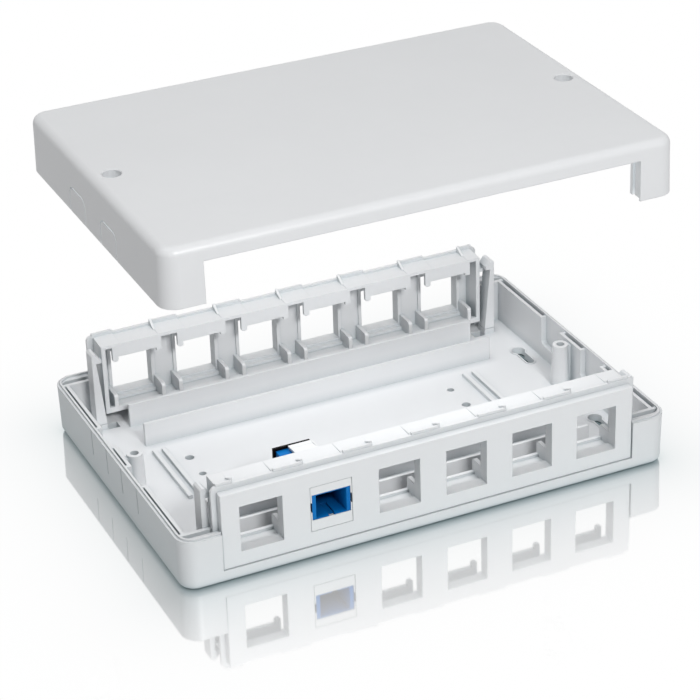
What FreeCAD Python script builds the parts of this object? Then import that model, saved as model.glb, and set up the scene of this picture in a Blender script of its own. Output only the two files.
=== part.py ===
# Twelve-port fibre termination box: moulded tray, lift-off cover, two six-port
# keystone panels held by snap latches, two cover screws and one SC adapter in a
# keystone insert.
# Millimetres. Origin at the centre of the tray's underside, +Z up, +X along the
# long side, -Y towards the front port panel. The cover and its screws stand
# lifted above their closed places.
import FreeCAD, Part
import Sketcher
import math
import os

Vec = FreeCAD.Vector
doc = FreeCAD.newDocument("termination_box")

# ---------------------------------------------------------------- dimensions
# alias, value, note
ROWS = [
    # overall shell
    ("tray_long", 177.0, "outer length at the rim"),
    ("tray_deep", 122.0, "outer depth at the rim"),
    ("tray_high", 18.3, "height of the tray rim"),
    ("draft_deg", 1.2, "draft of the outer walls"),
    ("corner_rad", 6.0, "vertical corner radius"),
    ("foot_rad", 2.2, "radius along the bottom edge"),
    ("floor_thk", 2.5, "tray floor thickness"),
    ("side_wall", 1.6, "tray end wall thickness"),
    ("port_wall", 3.35, "tray wall thickness beside the panels"),
    ("tray_in_rad", 2.8, "corner radius of the tray cavity"),
    ("cover_high", 19.7, "cover height, rim to top"),
    ("cover_top", 2.2, "cover top thickness"),
    ("cover_side", 2.2, "cover end wall thickness"),
    ("cover_rad", 3.0, "radius along the cover's top edge"),
    ("cover_in_rad", 3.6, "corner radius of the cover cavity"),
    ("cover_lift", 82.0, "how far the cover stands above its closed place"),
    # tongue and recess along the parting line
    ("tongue_in", 0.9, "tongue set back from the outer face"),
    ("tongue_high", 0.7, "tongue height"),
    ("tongue_wide", 0.7, "tongue width"),
    ("recess_in", 0.7, "cover lip thickness outside the tongue"),
    ("recess_high", 0.95, "depth of the recess over the tongue"),
    ("part_gap", 0.15, "cover parts start this far above the tray rim"),
    # openings for the port panels
    ("open_half", 74.6, "half length of the tray's panel opening"),
    ("open_sill", 4.75, "height of the sill under a panel"),
    ("cover_open_half", 74.9, "half length of the cover's panel opening"),
    ("cover_open_high", 13.9, "height of the cover's panel opening"),
    ("slot_wide", 2.1, "slot that takes the end of a panel flange"),
    ("guide_thk", 1.45, "rib behind the slot"),
    ("guide_reach", 79.4, "where the cover's guide rib ends"),
    ("guide_web", 1.4, "web that closes the cover's slot"),
    # inner rib along the end walls
    ("rib_out", 85.9, "outer face of the inner rib"),
    ("rib_thk", 1.2, "inner rib thickness"),
    ("rib_deep", 8.0, "depth of the groove behind the inner rib"),
    # screw posts
    ("post_x", 80.9, "screw post distance from the centre"),
    ("post_base", 3.4, "post radius at the floor"),
    ("post_tip", 2.8, "post radius at the top"),
    ("pilot_rad", 1.45, "pilot hole radius"),
    ("pilot_low", 4.0, "bottom of the pilot hole"),
    ("web_thk", 2.0, "web between post and end wall"),
    # cable walls on the floor
    ("wall_half", 67.2, "half length of the cable walls"),
    ("wall_near", 28.0, "inner cable wall distance"),
    ("wall_far", 43.0, "outer cable wall distance"),
    ("wall_thk", 1.2, "cable wall thickness"),
    ("wall_top", 11.2, "cable wall top"),
    ("ridge_wide", 1.5, "floor ridge width"),
    ("ridge_high", 1.3, "floor ridge height"),
    # wall fixing keyholes
    ("key_x", 79.2, "keyhole distance from the centre line"),
    ("key_y", 28.0, "keyhole head distance from the centre line"),
    ("key_head", 2.5, "keyhole head radius"),
    ("key_neck", 1.5, "keyhole slot radius"),
    ("key_run", 9.0, "keyhole slot run"),
    ("key_rim", 0.5, "raised rim round the keyhole, width"),
    ("key_rise", 0.3, "raised rim round the keyhole, height"),
    # cable knockouts in the end walls
    ("knock_y", 14.2, "knockout distance from the centre line"),
    ("knock_half", 7.2, "half width of a knockout"),
    ("knock_low", 7.6, "lower edge of a tray knockout"),
    ("knock_up", 9.0, "height of a cover knockout"),
    ("line_wide", 0.45, "width of a knockout line"),
    ("line_deep", 0.3, "depth of a knockout line"),
    ("frame_in", 0.6, "knockout frame inside the line"),
    ("frame_out", 0.7, "knockout frame outside the line"),
    # snap latches that hold the panels
    ("latch_out", 78.5, "outer face of a panel latch"),
    ("latch_root", 74.6, "inner face of a panel latch at its root"),
    ("latch_tip", 76.9, "inner face of a panel latch near its top"),
    ("latch_y", 48.3, "rear latch centre along the depth"),
    ("latch_y_front", 51.2, "front latch centre along the depth"),
    ("latch_wide", 5.4, "latch width"),
    ("latch_low", 4.7, "bottom of the flexing part"),
    ("latch_top", 32.4, "top of the latch"),
    ("barb_low", 28.8, "underside of the barb"),
    ("barb_in", 75.2, "tip of the barb"),
    # port panel
    ("face_half", 74.4, "half length of the panel face"),
    ("face_y", 60.3, "front face of the panel"),
    ("face_rad", 0.25, "radius round the front face"),
    ("flange_y", 57.4, "front of the panel flange"),
    ("flange_back", 56.3, "back of the panel flange"),
    ("flange_rad", 1.8, "corner radius of the flange"),
    ("face_low", 4.9, "bottom of the panel face"),
    ("face_top", 32.1, "top of the panel face"),
    ("flange_half", 76.3, "half length of the flange"),
    ("flange_low", 2.8, "bottom of the flange"),
    ("flange_top", 34.0, "top of the flange"),
    ("lip_top", 34.9, "top of the raised pads on the flange"),
    ("pitch", 24.3, "port pitch"),
    ("port_wide", 14.8, "keystone opening width"),
    ("port_high", 16.5, "keystone opening height"),
    ("port_low", 10.1, "bottom of the keystone opening"),
    ("jamb_back", 54.3, "back edge of the sill under an opening"),
    ("side_back", 55.9, "back edge of the ribs beside an opening"),
    ("jamb_thk", 1.2, "thickness of the walls round an opening"),
    ("end_in", 72.4, "inner face of the panel's end wall"),
    ("end_out", 73.9, "outer face of the panel's end wall"),
    ("bar_back", 48.2, "back of the latch bar"),
    ("bar_thk", 1.2, "latch bar thickness"),
    ("bar_low", 28.3, "underside of the latch bar"),
    ("shelf_low", 32.2, "underside of the top shelf"),
    ("shelf_top", 33.2, "top of the shelf"),
    ("bar_half", 9.15, "half length of one latch bar"),
    ("rail_low", 6.9, "underside of the bottom rail"),
    ("rail_top", 8.9, "top of the bottom rail"),
    ("cheek_x", 8.9, "cheek distance from the port centre"),
    ("cheek_top", 13.4, "top of a cheek"),
    # keystone insert and SC adapter
    ("insert_x", -36.45, "centre of the occupied port"),
    ("insert_gap", 0.14, "clearance round the insert"),
    ("insert_back", 47.2, "back of the insert's front block"),
    ("seat_gap", 0.08, "clearance round the adapter in the insert"),
    ("sc_wide", 13.4, "adapter body width"),
    ("sc_high", 9.2, "adapter body height"),
    ("sc_low", 14.25, "bottom of the adapter body"),
    ("sc_front", 60.1, "front of the adapter"),
    ("sc_mid", 43.9, "joint between the two adapter shells"),
    ("sc_back", 28.4, "back of the adapter"),
    ("sc_rad", 0.4, "radius along the adapter's long edges"),
    ("sc_in_wide", 9.6, "plug opening width"),
    ("sc_in_high", 7.7, "plug opening height"),
    ("sleeve_out", 1.60, "alignment sleeve outer radius"),
    ("sleeve_in", 1.25, "alignment sleeve bore radius"),
    ("sleeve_half", 5.7, "half length of the sleeve"),
    # screws
    ("screw_head", 2.8, "screw head radius"),
    ("head_rim", 1.3, "height of the head's straight rim"),
    ("head_high", 2.2, "screw head height"),
    ("screw_rad", 1.4, "screw shank radius"),
    ("screw_long", 12.0, "screw length under the head"),
    ("cross_half", 1.6, "half length of a cross slot"),
    ("cross_thk", 0.64, "width of a cross slot"),
    ("seat_z", 20.4, "height of the screw seat, cover closed"),
    ("well_rad", 3.1, "radius of the screw well in the cover"),
    ("boss_rad", 4.6, "radius of the cover's screw boss"),
    ("hole_rad", 1.7, "screw hole through the cover boss"),
]

LAP = 0.2  # how far an added block sinks into what it joins
PAST = 1.0  # how far a cutter runs clear of what it cuts
PORTS = 6
SIDES = ((-1, "L"), (1, "R"))  # sign along X
ENDS = ((-1, "F"), (1, "B"))  # sign along Y

# Ridges on the tray floor: name, left face x, front y, rear y
FLOOR_RIDGES = (
    ("A", -67.0, -11.5, 22.2), ("B", -63.6, -9.8, 22.0),
    ("C", 52.2, -9.8, 20.7), ("D", 55.9, -11.5, 20.5),
)
# Holes through the tray floor: name, x, y, radius
FLOOR_HOLES = (
    ("A", -56.6, 13.8, 1.6), ("B", -56.6, 1.8, 1.25),
    ("C", 44.05, 13.8, 1.25), ("D", 44.05, 1.8, 1.6),
)


# ---------------------------------------------------------------- sizes
class Size:
    """A length that carries both its sheet expression and its present value."""

    def __init__(self, text, value):
        self.text = text
        self.value = value

    def __neg__(self):
        return Size("(-%s)" % self.text, -self.value)

    def __add__(self, other):
        return joined(self, "+", size(other), self.value + size(other).value)

    def __radd__(self, other):
        return size(other) + self

    def __sub__(self, other):
        return joined(self, "-", size(other), self.value - size(other).value)

    def __rsub__(self, other):
        return size(other) - self

    def __mul__(self, other):
        return joined(self, "*", size(other), self.value * size(other).value)

    def __rmul__(self, other):
        return size(other) * self

    def __truediv__(self, other):
        return joined(self, "/", size(other), self.value / size(other).value)


def joined(left, sign, right, value):
    return Size("(%s %s %s)" % (left.text, sign, right.text), value)


def size(number):
    """A plain number as a Size; a Size passes through."""
    if isinstance(number, Size):
        return number
    number = float(number)
    return Size("%r" % number if number >= 0 else "(%r)" % number, number)


class Dimensions:
    """Every sheet row as a Size, by its alias."""


sheet = doc.addObject("Spreadsheet::Sheet", "Dims")
dim = Dimensions()
for row, (alias, number, note) in enumerate(ROWS, start=1):
    sheet.set("A%d" % row, note)
    sheet.set("B%d" % row, repr(float(number)))
    sheet.setAlias("B%d" % row, alias)
    setattr(dim, alias, Size("Dims." + alias, float(number)))
doc.recompute()

# Places that several pieces share
half_long = dim.tray_long / 2
half_deep = dim.tray_deep / 2
wall_in = half_long - dim.side_wall  # inner face of the tray's end wall
port_wall_in = half_deep - dim.port_wall  # inner face of the front and rear walls
slot_back = port_wall_in - dim.slot_wide
rib_in = dim.rib_out - dim.rib_thk
cover_roof = dim.tray_high + dim.cover_high - dim.cover_top


# ---------------------------------------------------------------- spans
def span(sign, near, far):
    """near..far from the centre plane, on the side that sign gives."""
    return (near, far) if sign > 0 else (-far, -near)


def about(middle, half):
    return (middle - half, middle + half)


def shifted(base, pair):
    return (base + pair[0], base + pair[1])


# ---------------------------------------------------------------- Part objects
def bind(obj, **sizes):
    for prop, value in sizes.items():
        obj.setExpression(prop, size(value).text)


def place(obj, x, y, z):
    for axis, value in (("x", x), ("y", y), ("z", z)):
        obj.setExpression(".Placement.Base.%s" % axis, size(value).text)
    return obj


def box(name, xs, ys, zs):
    solid = doc.addObject("Part::Box", name)
    bind(solid, Length=xs[1] - xs[0], Width=ys[1] - ys[0], Height=zs[1] - zs[0])
    return place(solid, xs[0], ys[0], zs[0])


def cylinder(name, x, y, zs, radius):
    solid = doc.addObject("Part::Cylinder", name)
    bind(solid, Radius=radius, Height=zs[1] - zs[0])
    return place(solid, x, y, zs[0])


def cylinder_y(name, x, z, ys, radius):
    """A cylinder along +Y."""
    solid = doc.addObject("Part::Cylinder", name)
    solid.Placement = FreeCAD.Placement(Vec(0, 0, 0), FreeCAD.Rotation(Vec(1, 0, 0), -90))
    bind(solid, Radius=radius, Height=ys[1] - ys[0])
    return place(solid, x, ys[0], z)


def cone(name, x, y, zs, low_radius, top_radius):
    solid = doc.addObject("Part::Cone", name)
    bind(solid, Radius1=low_radius, Radius2=top_radius, Height=zs[1] - zs[0])
    return place(solid, x, y, zs[0])


def wedge(name, ys, xs, zs, end_xs, end_zs):
    """A block with section xs by zs at the first y and end_xs by end_zs at the second."""
    solid = doc.addObject("Part::Wedge", name)
    bind(solid, Xmin=xs[0], Xmax=xs[1], Ymin=ys[0], Ymax=ys[1], Zmin=zs[0], Zmax=zs[1],
         X2min=end_xs[0], X2max=end_xs[1], Z2min=end_zs[0], Z2max=end_zs[1])
    return solid


def fuse(name, parts):
    union = doc.addObject("Part::MultiFuse", name)
    union.Shapes = list(parts)
    union.Refine = True
    return union


def cut(name, base, tool):
    rest = doc.addObject("Part::Cut", name)
    rest.Base = base
    rest.Tool = tool
    rest.Refine = True
    return rest


def fillet(name, obj, test, radius):
    """Part::Fillet on the edges of obj that pass test(edge)."""
    doc.recompute()
    picked = [(index, radius, radius)
              for index, edge in enumerate(obj.Shape.Edges, start=1) if test(edge)]
    if not picked:
        raise RuntimeError("no edges to round on " + name)
    rounded = doc.addObject("Part::Fillet", name)
    rounded.Base = obj
    rounded.Edges = picked
    return rounded


# ---------------------------------------------------------------- edge tests
def runs_along(edge, axis, least=1.0):
    """True for a straight edge parallel to axis and longer than least."""
    bounds = edge.BoundBox
    lengths = {"x": bounds.XLength, "y": bounds.YLength, "z": bounds.ZLength}
    return lengths.pop(axis) > least and max(lengths.values()) < 0.01


def along_y(edge):
    return runs_along(edge, "y")


def along_x_at(height):
    def test(edge):
        return runs_along(edge, "x") and abs(edge.BoundBox.ZMin - height.value) < 0.05
    return test


def lies_at(axis, level):
    """A test for edges that lie wholly in the plane axis = level."""
    def test(edge):
        bounds = edge.BoundBox
        low, high = {"y": (bounds.YMin, bounds.YMax), "z": (bounds.ZMin, bounds.ZMax)}[axis]
        at = size(level).value
        return abs(low - at) < 0.02 and abs(high - at) < 0.02
    return test


# ---------------------------------------------------------------- sketches
def origin_feature(body, role):
    return [part for part in body.Origin.OriginFeatures if part.Role == role][0]


def sketch_on(body, plane, name, offset=None):
    """A sketch on an origin plane; the XZ plane's normal, and so its offset, is -Y."""
    sketch = body.newObject("Sketcher::SketchObject", name)
    sketch.AttachmentSupport = [(origin_feature(body, plane), "")]
    sketch.MapMode = "FlatFace"
    if offset is not None:
        offset = size(offset)
        sketch.AttachmentOffset = FreeCAD.Placement(Vec(0, 0, offset.value), FreeCAD.Rotation())
        sketch.setExpression(".AttachmentOffset.Base.z", offset.text)
    return sketch


def drive(sketch, kind, references, value):
    """Add a constraint whose size follows the sheet."""
    value = size(value)
    index = sketch.addConstraint(Sketcher.Constraint(kind, *references, value.value))
    sketch.setExpression("Constraints[%d]" % index, value.text)


def drive_from_origin(sketch, axis, line, point, value):
    """Fix one end of a line at a driven distance from the origin."""
    drive(sketch, "Distance" + axis, (-1, 1, line, point), value)


def closed_lines(sketch, points):
    """Lines through the points and back to the first, joined end to start."""
    count = len(points)
    lines = sketch.addGeometry(
        [Part.LineSegment(points[i], points[(i + 1) % count]) for i in range(count)], False)
    for i in range(count):
        sketch.addConstraint(
            Sketcher.Constraint("Coincident", lines[i], 2, lines[(i + 1) % count], 1))
    return lines


def rectangle(sketch, xs, ys):
    left, right = [size(x) for x in xs]
    low, high = [size(y) for y in ys]
    lines = closed_lines(sketch, [
        Vec(left.value, low.value, 0), Vec(right.value, low.value, 0),
        Vec(right.value, high.value, 0), Vec(left.value, high.value, 0)])
    for line, kind in zip(lines, ("Horizontal", "Vertical", "Horizontal", "Vertical")):
        sketch.addConstraint(Sketcher.Constraint(kind, line))
    drive_from_origin(sketch, "X", lines[0], 1, left)
    drive_from_origin(sketch, "Y", lines[0], 1, low)
    drive_from_origin(sketch, "X", lines[2], 1, right)
    drive_from_origin(sketch, "Y", lines[2], 1, high)


def polygon(sketch, corners):
    """A closed outline with every corner driven."""
    corners = [(size(x), size(y)) for x, y in corners]
    lines = closed_lines(sketch, [Vec(x.value, y.value, 0) for x, y in corners])
    for line, (x, y) in zip(lines, corners):
        drive_from_origin(sketch, "X", line, 1, x)
        drive_from_origin(sketch, "Y", line, 1, y)


def round_rectangle(sketch, half_x, half_y, radius):
    """A centred rectangle with four equal corner arcs."""
    right, top, rad = half_x.value, half_y.value, size(radius).value
    quarter = math.pi / 2
    in_x, in_y = right - rad, top - rad

    def arc(x, y, start):
        ring = Part.Circle(Vec(x, y, 0), Vec(0, 0, 1), rad)
        return Part.ArcOfCircle(ring, start, start + quarter)

    items = sketch.addGeometry([
        Part.LineSegment(Vec(-in_x, -top, 0), Vec(in_x, -top, 0)),
        arc(in_x, -in_y, -quarter),
        Part.LineSegment(Vec(right, -in_y, 0), Vec(right, in_y, 0)),
        arc(in_x, in_y, 0),
        Part.LineSegment(Vec(in_x, top, 0), Vec(-in_x, top, 0)),
        arc(-in_x, in_y, quarter),
        Part.LineSegment(Vec(-right, in_y, 0), Vec(-right, -in_y, 0)),
        arc(-in_x, -in_y, 2 * quarter)], False)
    for i in range(8):
        sketch.addConstraint(Sketcher.Constraint("Tangent", items[i], 2, items[(i + 1) % 8], 1))
    for i, kind in ((0, "Horizontal"), (2, "Vertical"), (4, "Horizontal"), (6, "Vertical")):
        sketch.addConstraint(Sketcher.Constraint(kind, items[i]))
    for i in (3, 5, 7):
        sketch.addConstraint(Sketcher.Constraint("Equal", items[1], items[i]))
    drive(sketch, "Radius", (items[1],), radius)
    drive_from_origin(sketch, "X", items[2], 1, half_x)
    drive_from_origin(sketch, "Y", items[4], 1, half_y)
    drive_from_origin(sketch, "X", items[6], 1, -half_x)
    drive_from_origin(sketch, "Y", items[0], 1, -half_y)


# ---------------------------------------------------------------- body features
def pad(body, sketch, name, length, taper=None, reverse=False):
    feature = body.newObject("PartDesign::Pad", name)
    feature.Profile = sketch
    feature.Reversed = reverse
    bind(feature, Length=length)
    if taper is not None:
        bind(feature, TaperAngle=taper)
    return feature


def pocket(body, sketch, name, length, reverse=False):
    """A pocket that must remove material."""
    doc.recompute()
    before = body.Shape.Volume
    feature = body.newObject("PartDesign::Pocket", name)
    feature.Profile = sketch
    feature.Reversed = reverse
    bind(feature, Length=length)
    doc.recompute()
    if not body.Shape.Volume < before - 0.01:
        raise RuntimeError("pocket removed nothing: " + name)
    return feature


def edge_fillet(body, feature, name, test, radius):
    doc.recompute()
    names = ["Edge%d" % index
             for index, edge in enumerate(feature.Shape.Edges, start=1) if test(edge)]
    rounded = body.newObject("PartDesign::Fillet", name)
    rounded.Base = (feature, names)
    bind(rounded, Radius=radius)


PIECES = []


def piece(obj, label):
    """Give a finished piece its name and list it for export."""
    obj.Label = label
    PIECES.append(obj)
    return obj


# ---------------------------------------------------------------- base tray
def tray_shell():
    """Drafted block with its cavity and the tongue round the rim."""
    body = doc.addObject("PartDesign::Body", "TrayShell")
    sketch = sketch_on(body, "XY_Plane", "TrayOutline", dim.tray_high)
    round_rectangle(sketch, half_long, half_deep, dim.corner_rad)
    block = pad(body, sketch, "TrayBlock", dim.tray_high, -dim.draft_deg, reverse=True)
    edge_fillet(body, block, "TrayFoot", lies_at("z", 0.0), dim.foot_rad)
    sketch = sketch_on(body, "XY_Plane", "TrayCavityOutline", dim.tray_high)
    round_rectangle(sketch, wall_in, port_wall_in, dim.tray_in_rad)
    pocket(body, sketch, "TrayCavity", dim.tray_high - dim.floor_thk)
    sketch = sketch_on(body, "XY_Plane", "TongueOutline", dim.tray_high)
    for inset in (dim.tongue_in, dim.tongue_in + dim.tongue_wide):
        round_rectangle(sketch, half_long - inset, half_deep - inset, dim.corner_rad - inset)
    body.Tip = pad(body, sketch, "Tongue", dim.tongue_high)
    doc.recompute()
    return body


def latch_centre(sy):
    return dim.latch_y if sy > 0 else dim.latch_y_front


def slot_guide_and_latch_root(sx, sy, tag, solids, cutters):
    root_x = dim.latch_root
    centre = latch_centre(sy)
    floor_low = dim.floor_thk - LAP
    solids.append(box("Guide" + tag, span(sx, dim.open_half, wall_in + LAP),
                      span(sy, slot_back - dim.guide_thk, slot_back),
                      (floor_low, dim.tray_high)))
    solids.append(box("LatchRoot" + tag, span(sx, root_x, dim.latch_out),
                      span(sy, *about(centre, dim.latch_wide / 2)),
                      (floor_low, dim.latch_low - 0.2)))
    # floor opening on the inner side of the latch
    cutters.append(box("LatchHole" + tag, span(sx, root_x - 4.4, root_x - 0.2),
                       span(sy, centre - 3.2, centre + 0.6), (-PAST, dim.floor_thk + PAST)))


def inner_ribs(sx, sy, tag, solids):
    """Inner rib along the end wall, broken at the knockout."""
    floor_low = dim.floor_thk - LAP
    reach = dim.knock_half - dim.frame_in
    runs = ((dim.knock_y + reach, slot_back), (-0.1, dim.knock_y - reach))
    for i, run in enumerate(runs):
        ys = span(sy, *run)
        solids.append(box("Rib%d%s" % (i, tag), span(sx, rib_in, dim.rib_out), ys,
                          (floor_low, dim.tray_high)))
        # below the groove the rib and the wall are one
        solids.append(box("RibFoot%d%s" % (i, tag), span(sx, rib_in, wall_in + LAP), ys,
                          (floor_low, dim.tray_high - dim.rib_deep)))


def knockout_frame(sx, sy, tag):
    """U shaped frame round a knockout, inside the end wall."""
    opening_rad = 2.0
    outer = box("FrameOut" + tag, span(sx, rib_in, wall_in + LAP),
                span(sy, *about(dim.knock_y, dim.knock_half + dim.frame_out)),
                (dim.floor_thk - LAP, dim.tray_high))
    inner = box("FrameIn" + tag, span(sx, rib_in - PAST, wall_in + 2 * LAP),
                span(sy, *about(dim.knock_y, dim.knock_half - dim.frame_in)),
                (dim.knock_low, dim.tray_high + PAST))
    inner = fillet("FrameInR" + tag, inner, along_x_at(dim.knock_low), opening_rad)
    return cut("Frame" + tag, outer, inner)


def tray_knockout_lines(sx, sy, tag):
    """Two upright lines on the outer face of the end wall."""
    extra_depth = 0.12
    xs = span(sx, half_long - dim.line_deep - extra_depth, half_long + PAST)
    zs = (dim.knock_low + 0.8, dim.tray_high - 0.35)
    edges = (dim.knock_y - dim.knock_half, dim.knock_y + dim.knock_half)
    return [box("TrayLine%d%s" % (i, tag), xs, span(sy, *about(edge, dim.line_wide / 2)), zs)
            for i, edge in enumerate(edges)]


def keyhole(what, sx, sy, tag, grow, zs):
    """Round head to the rear with a slot running to the front, grown all round."""
    x = sx * dim.key_x
    head_y = sy * dim.key_y
    neck_y = head_y - dim.key_run
    neck = dim.key_neck + grow
    return [cylinder(what + "Head" + tag, x, head_y, zs, dim.key_head + grow),
            cylinder(what + "Neck" + tag, x, neck_y, zs, neck),
            box(what + "Run" + tag, about(x, neck), (neck_y, head_y), zs)]


def base_tray():
    solids = [tray_shell()]
    cutters = []
    floor_top = dim.floor_thk
    floor_low = floor_top - LAP
    for sx, side in SIDES:
        for sy, end in ENDS:
            tag = side + end
            slot_guide_and_latch_root(sx, sy, tag, solids, cutters)
            inner_ribs(sx, sy, tag, solids)
            solids.append(knockout_frame(sx, sy, tag))
            cutters += tray_knockout_lines(sx, sy, tag)
            # a cable wall spans both sides, so it is built once
            if sx > 0:
                for i, near in enumerate((dim.wall_near, dim.wall_far)):
                    solids.append(box("CableWall%d%s" % (i, tag),
                                      (-dim.wall_half, dim.wall_half),
                                      span(sy, near, near + dim.wall_thk),
                                      (floor_low, dim.wall_top)))
            solids += keyhole("Rim", sx, sy, tag, dim.key_rim,
                              (floor_low, floor_top + dim.key_rise))
            cutters += keyhole("Key", sx, sy, tag, 0, (-PAST, floor_top + 3 * PAST))
        # screw post with a web to the inner rib
        post_x = sx * dim.post_x
        solids.append(cone("Post" + side, post_x, 0, (floor_low, dim.tray_high),
                           dim.post_base, dim.post_tip))
        cutters.append(cylinder("Pilot" + side, post_x, 0,
                                (dim.pilot_low, dim.tray_high + 2 * PAST), dim.pilot_rad))
        solids.append(box("PostWeb" + side, span(sx, dim.post_x + 2.0, rib_in + LAP),
                          (-dim.web_thk / 2, dim.web_thk / 2),
                          (floor_low, dim.tray_high - 0.9)))
    # panel openings through the front and rear walls
    for sy, end in ENDS:
        cutters.append(box("Opening" + end, (-dim.open_half, dim.open_half),
                           span(sy, port_wall_in, half_deep + PAST),
                           (dim.open_sill, dim.tray_high + 2 * PAST)))
    for name, x, front, rear in FLOOR_RIDGES:
        solids.append(box("Ridge" + name, (x, x + dim.ridge_wide), (front, rear),
                          (floor_low, floor_top + dim.ridge_high)))
    for name, x, y, radius in FLOOR_HOLES:
        cutters.append(cylinder("FloorHole" + name, x, y, (-PAST, floor_top + PAST), radius))
    return cut("BaseTray", fuse("TraySolid", solids), fuse("TrayCuts", cutters))


piece(base_tray(), "base_tray")


# ---------------------------------------------------------------- top cover
# Drawn closed, on the tray; its placement lifts it.
def cover_shell():
    body = doc.addObject("PartDesign::Body", "CoverShell")
    sketch = sketch_on(body, "XY_Plane", "CoverOutline", dim.tray_high)
    round_rectangle(sketch, half_long, half_deep, dim.corner_rad)
    block = pad(body, sketch, "CoverBlock", dim.cover_high, -dim.draft_deg)
    edge_fillet(body, block, "CoverEdge", lies_at("z", dim.tray_high + dim.cover_high),
                dim.cover_rad)
    sketch = sketch_on(body, "XY_Plane", "CoverCavityOutline", dim.tray_high)
    round_rectangle(sketch, half_long - dim.cover_side, port_wall_in, dim.cover_in_rad)
    pocket(body, sketch, "CoverCavity", dim.cover_high - dim.cover_top, reverse=True)
    sketch = sketch_on(body, "XY_Plane", "RecessOutline", dim.tray_high)
    round_rectangle(sketch, half_long - dim.recess_in, half_deep - dim.recess_in,
                    dim.corner_rad - dim.recess_in)
    pocket(body, sketch, "CoverRecess", dim.recess_high, reverse=True)
    return body


def cover_knockout_line(sx, sy, tag):
    """Knockout outline on the outer face: two uprights and a rounded head."""
    head_rad = 3.0
    depth = dim.line_deep + 0.45
    top = dim.tray_high + dim.knock_up
    inner_top = top - dim.line_wide
    outer = box("KnockOut" + tag, span(sx, half_long - depth, half_long + PAST),
                span(sy, *about(dim.knock_y, dim.knock_half)), (dim.tray_high - PAST, top))
    inner = box("KnockIn" + tag, span(sx, half_long - depth - PAST, half_long + 2 * PAST),
                span(sy, *about(dim.knock_y, dim.knock_half - dim.line_wide)),
                (dim.tray_high - 2 * PAST, inner_top))
    outer = fillet("KnockOutR" + tag, outer, along_x_at(top), head_rad)
    inner = fillet("KnockInR" + tag, inner, along_x_at(inner_top),
                   head_rad - dim.line_wide.value)
    return cut("KnockLine" + tag, outer, inner)


def top_cover():
    well_lead = 0.3  # height and width of the chamfer at a well's mouth
    nick = 0.01  # keeps a cutter's face off the face it meets
    solids = [cover_shell()]
    cutters = []
    rim = dim.tray_high
    top = rim + dim.cover_high
    inside = (rim + dim.part_gap, cover_roof + LAP)
    for sy, end in ENDS:
        cutters.append(box("CoverOpening" + end, (-dim.cover_open_half, dim.cover_open_half),
                           span(sy, port_wall_in - nick, half_deep + PAST),
                           (rim - PAST, rim + dim.cover_open_high)))
    for sx, side in SIDES:
        x = sx * dim.post_x
        solids.append(cylinder("Boss" + side, x, 0, inside, dim.boss_rad))
        cutters += [
            cylinder("Well" + side, x, 0, (dim.seat_z, top + PAST), dim.well_rad),
            cylinder("BossHole" + side, x, 0, (rim - PAST, dim.seat_z + PAST), dim.hole_rad),
            cone("WellLead" + side, x, 0, (top - well_lead, top + nick),
                 dim.well_rad, dim.well_rad + well_lead)]
        for sy, end in ENDS:
            tag = side + end
            # guide rib behind the flange slot, and the web that closes the slot
            solids.append(box("CoverGuide" + tag,
                              span(sx, dim.cover_open_half + 0.3, dim.guide_reach),
                              span(sy, slot_back - dim.guide_thk, slot_back), inside))
            solids.append(box("CoverGuideWeb" + tag,
                              span(sx, dim.guide_reach - dim.guide_web, dim.guide_reach),
                              span(sy, slot_back - LAP, port_wall_in + LAP),
                              (rim + dim.recess_high + 0.1, cover_roof + LAP)))
            cutters.append(cover_knockout_line(sx, sy, tag))
    return cut("TopCover", fuse("CoverSolid", solids), fuse("CoverCuts", cutters))


place(piece(top_cover(), "top_cover"), 0, 0, dim.cover_lift)


# ---------------------------------------------------------------- port panels
# A panel is drawn in the front position, facing -Y.
panel_in = -dim.flange_back  # rear face of the flange
bar_rear = -dim.bar_back
behind_flange = (panel_in - LAP, bar_rear)
bar_ys = (bar_rear - dim.bar_thk, bar_rear)


def panel_plate(prefix):
    """Flange and face with the six keystone openings."""
    body = doc.addObject("PartDesign::Body", prefix + "Plate")
    # the flange lies behind the edges of the tray and cover openings
    sketch = sketch_on(body, "XZ_Plane", prefix + "FlangeOutline", dim.flange_back)
    rectangle(sketch, (-dim.flange_half, dim.flange_half), (dim.flange_low, dim.flange_top))
    flange = pad(body, sketch, prefix + "Flange", dim.flange_y - dim.flange_back)
    edge_fillet(body, flange, prefix + "FlangeCorners", along_y, dim.flange_rad)
    sketch = sketch_on(body, "XZ_Plane", prefix + "FaceOutline", dim.flange_y - LAP)
    rectangle(sketch, (-dim.face_half, dim.face_half), (dim.face_low, dim.face_top))
    face = pad(body, sketch, prefix + "Face", dim.face_y - dim.flange_y + LAP)
    edge_fillet(body, face, prefix + "FaceEdge", lies_at("y", -dim.face_y), dim.face_rad)
    doc.recompute()
    # first opening, then the row
    sketch = sketch_on(body, "XZ_Plane", prefix + "PortOutline", dim.face_y + PAST)
    rectangle(sketch, about(port_centre(0), dim.port_wide / 2),
              (dim.port_low, dim.port_low + dim.port_high))
    first = pocket(body, sketch, prefix + "Port", dim.face_y - dim.flange_back + 2 * PAST)
    row = body.newObject("PartDesign::LinearPattern", prefix + "PortRow")
    row.Originals = [first]
    row.Direction = (origin_feature(body, "X_Axis"), [""])
    bind(row, Length=(PORTS - 1) * dim.pitch)
    row.Occurrences = PORTS
    body.Tip = row
    doc.recompute()
    return body


def port_centre(i):
    return (i - (PORTS - 1) / 2) * dim.pitch


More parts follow.
